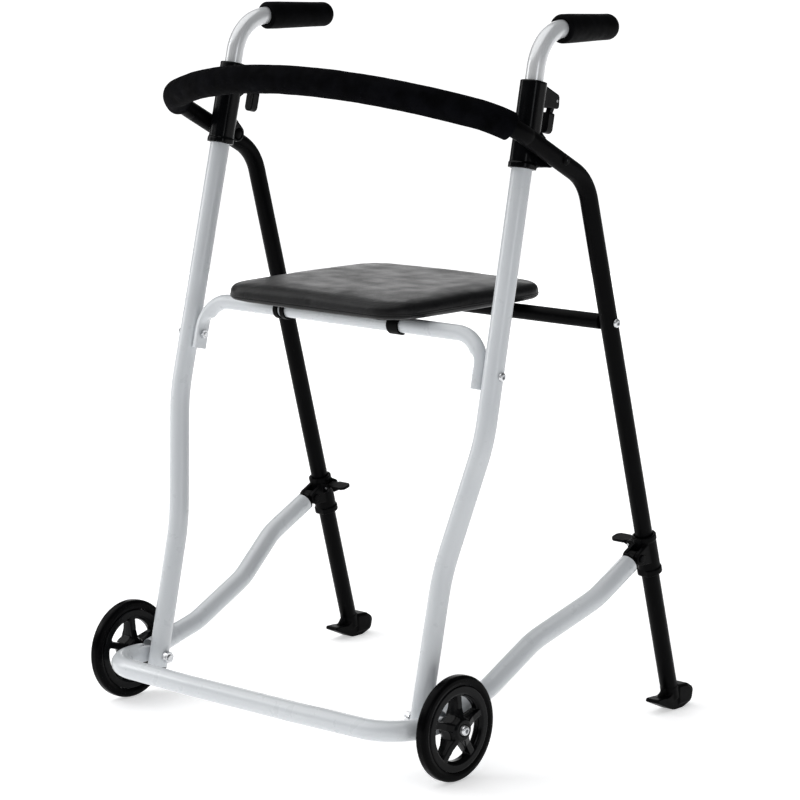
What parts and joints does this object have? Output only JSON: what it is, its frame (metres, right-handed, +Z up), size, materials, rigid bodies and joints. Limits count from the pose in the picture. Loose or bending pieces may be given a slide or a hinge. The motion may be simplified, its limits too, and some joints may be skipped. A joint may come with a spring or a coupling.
{
  "type": "walking frame",
  "caption": "Folding walking frame with two front wheels, rear skids, height-adjustable handles, flip-up seat and a padded backrest bow",
  "frame": {"origin": "On the floor, at the centre of the object's footprint box", "axes": "+X to the right-hand wheel of the right-hand side as seen from the front (the frame is symmetric across X 0), -Y to the front where the wheels and the backrest bow are, +Y to the rear where the skids are, +Z up"},
  "size_m": [0.5912, 0.548, 0.8827],
  "materials": {
    "white_paint": "gloss powder coat",
    "silver_paint": "satin silver coat",
    "black_paint": "satin powder coat",
    "gloss_plastic": "gloss",
    "satin_plastic": "satin",
    "foam": "matte foam",
    "grip_rubber": "matte",
    "tyre": "satin",
    "vinyl": "satin grained vinyl",
    "zinc": "bright zinc plate",
    "steel": "satin"
  },
  "bodies": {
    "frame": {"lower_bar": "white_paint", "seat_bar": "white_paint", "upright_right": "white_paint", "upright_left": "white_paint", "seat_bar_bolt_right": "zinc", "seat_bar_bolt_left": "zinc", "seat_bar_nut_right": "zinc", "seat_bar_nut_left": "zinc", "housing_right": "gloss_plastic", "housing_left": "gloss_plastic", "lever_pin_right": "steel", "lever_pin_left": "steel", "axle_bolt_right": "zinc", "axle_bolt_left": "zinc", "axle_nut_right": "zinc", "axle_nut_left": "zinc", "wheel_sleeve_right": "steel", "wheel_sleeve_left": "steel"},
    "rear_frame": {"rear_crossbar": "black_paint", "backrest_tube": "black_paint", "backrest_foam": "foam", "rear_leg_right": "black_paint", "rear_leg_left": "black_paint", "crossbar_bolt_right": "zinc", "crossbar_bolt_left": "zinc", "skid_right": "satin_plastic", "skid_left": "satin_plastic", "pivot_bolt_right": "zinc", "pivot_bolt_left": "zinc"},
    "seat": {"seat_cushion": "vinyl", "seat_board": "satin_plastic", "seat_clip_right": "satin_plastic", "seat_clip_left": "satin_plastic"},
    "handle_right": {"handle_tube_right": "silver_paint", "grip_right": "grip_rubber"},
    "lever_right": {"height_lever_right": "gloss_plastic"},
    "collar_right": {"collar_right": "satin_plastic", "pedal_pin_right": "steel", "brace_pivot_pin_right": "black_paint"},
    "pedal_right": {"pedal_right": "satin_plastic"},
    "brace_right": {"brace_right": "white_paint", "brace_plug_right": "satin_plastic", "brace_rivet_right": "black_paint"},
    "eye_right": {"brace_eye_right": "zinc"},
    "wheel_right": {"wheel_hub_right": "gloss_plastic", "tyre_right": "tyre"},
    "handle_left": {"handle_tube_left": "silver_paint", "grip_left": "grip_rubber"},
    "lever_left": {"height_lever_left": "gloss_plastic"},
    "collar_left": {"collar_left": "satin_plastic", "pedal_pin_left": "steel", "brace_pivot_pin_left": "black_paint"},
    "pedal_left": {"pedal_left": "satin_plastic"},
    "brace_left": {"brace_left": "white_paint", "brace_plug_left": "satin_plastic", "brace_rivet_left": "black_paint"},
    "eye_left": {"brace_eye_left": "zinc"},
    "wheel_left": {"wheel_hub_left": "gloss_plastic", "tyre_left": "tyre"}
  },
  "joints": [
    {"name": "rear_fold", "type": "hinge", "parent": "frame", "child": "rear_frame", "pos_m": [0, -0.0035, 0.715], "axis": [-1, 0, 0], "range_deg": [0, 22]},
    {"name": "seat_flip", "type": "hinge", "parent": "frame", "child": "seat", "pos_m": [0, -0.0835, 0.5105], "axis": [1, 0, 0], "range_deg": [0, 95]},
    {"name": "handle_slide_right", "type": "slide", "parent": "frame", "child": "handle_right", "axis": [-0.0161, 0.2235, 0.9746], "range_m": [0, 0.1]},
    {"name": "lever_squeeze_right", "type": "hinge", "parent": "frame", "child": "lever_right", "pos_m": [0.24374, 0.02599, 0.78083], "axis": [-0.9999, -0.0037, -0.0161], "range_deg": [0, 20], "stiffness_Nm_per_rad": 0.08, "springref_deg": -8.59},
    {"name": "collar_slide_right", "type": "slide", "parent": "rear_frame", "child": "collar_right", "axis": [0, -0.265, 0.9643], "range_m": [0, 0.2087]},
    {"name": "pedal_press_right", "type": "hinge", "parent": "collar_right", "child": "pedal_right", "pos_m": [0.2583, 0.17529, 0.22453], "axis": [0, -0.9642, -0.265], "range_deg": [0, 10], "stiffness_Nm_per_rad": 0.08, "springref_deg": -8.59},
    {"name": "brace_pivot_right", "type": "hinge", "parent": "collar_right", "child": "brace_right", "pos_m": [0.277, 0.153, 0.2095], "axis": [1, 0, 0], "range_deg": [0, 62.7]},
    {"name": "eye_pivot_right", "type": "hinge", "parent": "frame", "child": "eye_right", "pos_m": [0.248, -0.186, 0.0635], "axis": [1, 0, 0], "range_deg": [0, 40.2]},
    {"name": "wheel_spin_right", "type": "hinge", "parent": "frame", "child": "wheel_right", "pos_m": [0.2762, -0.186, 0.0635], "axis": [1, 0, 0], "continuous": true},
    {"name": "handle_slide_left", "type": "slide", "parent": "frame", "child": "handle_left", "axis": [0.0161, 0.2235, 0.9746], "range_m": [0, 0.1]},
    {"name": "lever_squeeze_left", "type": "hinge", "parent": "frame", "child": "lever_left", "pos_m": [-0.24374, 0.02599, 0.78083], "axis": [-0.9999, 0.0037, 0.0161], "range_deg": [0, 20], "stiffness_Nm_per_rad": 0.08, "springref_deg": -8.59},
    {"name": "collar_slide_left", "type": "slide", "parent": "rear_frame", "child": "collar_left", "axis": [0, -0.265, 0.9643], "range_m": [0, 0.2087]},
    {"name": "pedal_press_left", "type": "hinge", "parent": "collar_left", "child": "pedal_left", "pos_m": [-0.2583, 0.17529, 0.22453], "axis": [0, 0.9642, 0.265], "range_deg": [0, 10], "stiffness_Nm_per_rad": 0.08, "springref_deg": -8.59},
    {"name": "brace_pivot_left", "type": "hinge", "parent": "collar_left", "child": "brace_left", "pos_m": [-0.277, 0.153, 0.2095], "axis": [1, 0, 0], "range_deg": [0, 62.7]},
    {"name": "eye_pivot_left", "type": "hinge", "parent": "frame", "child": "eye_left", "pos_m": [-0.248, -0.186, 0.0635], "axis": [1, 0, 0], "range_deg": [0, 40.2]},
    {"name": "wheel_spin_left", "type": "hinge", "parent": "frame", "child": "wheel_left", "pos_m": [-0.2762, -0.186, 0.0635], "axis": [1, 0, 0], "continuous": true}
  ],
  "couplings": [
    {"joint": "collar_slide_right", "follows": "rear_fold", "m_per_rad": 0.54352},
    {"joint": "brace_pivot_right", "follows": "rear_fold", "ratio": 2.8457},
    {"joint": "eye_pivot_right", "follows": "rear_fold", "ratio": 1.823},
    {"joint": "collar_slide_left", "follows": "rear_fold", "m_per_rad": 0.54352},
    {"joint": "brace_pivot_left", "follows": "rear_fold", "ratio": 2.8457},
    {"joint": "eye_pivot_left", "follows": "rear_fold", "ratio": 1.823}
  ]
}
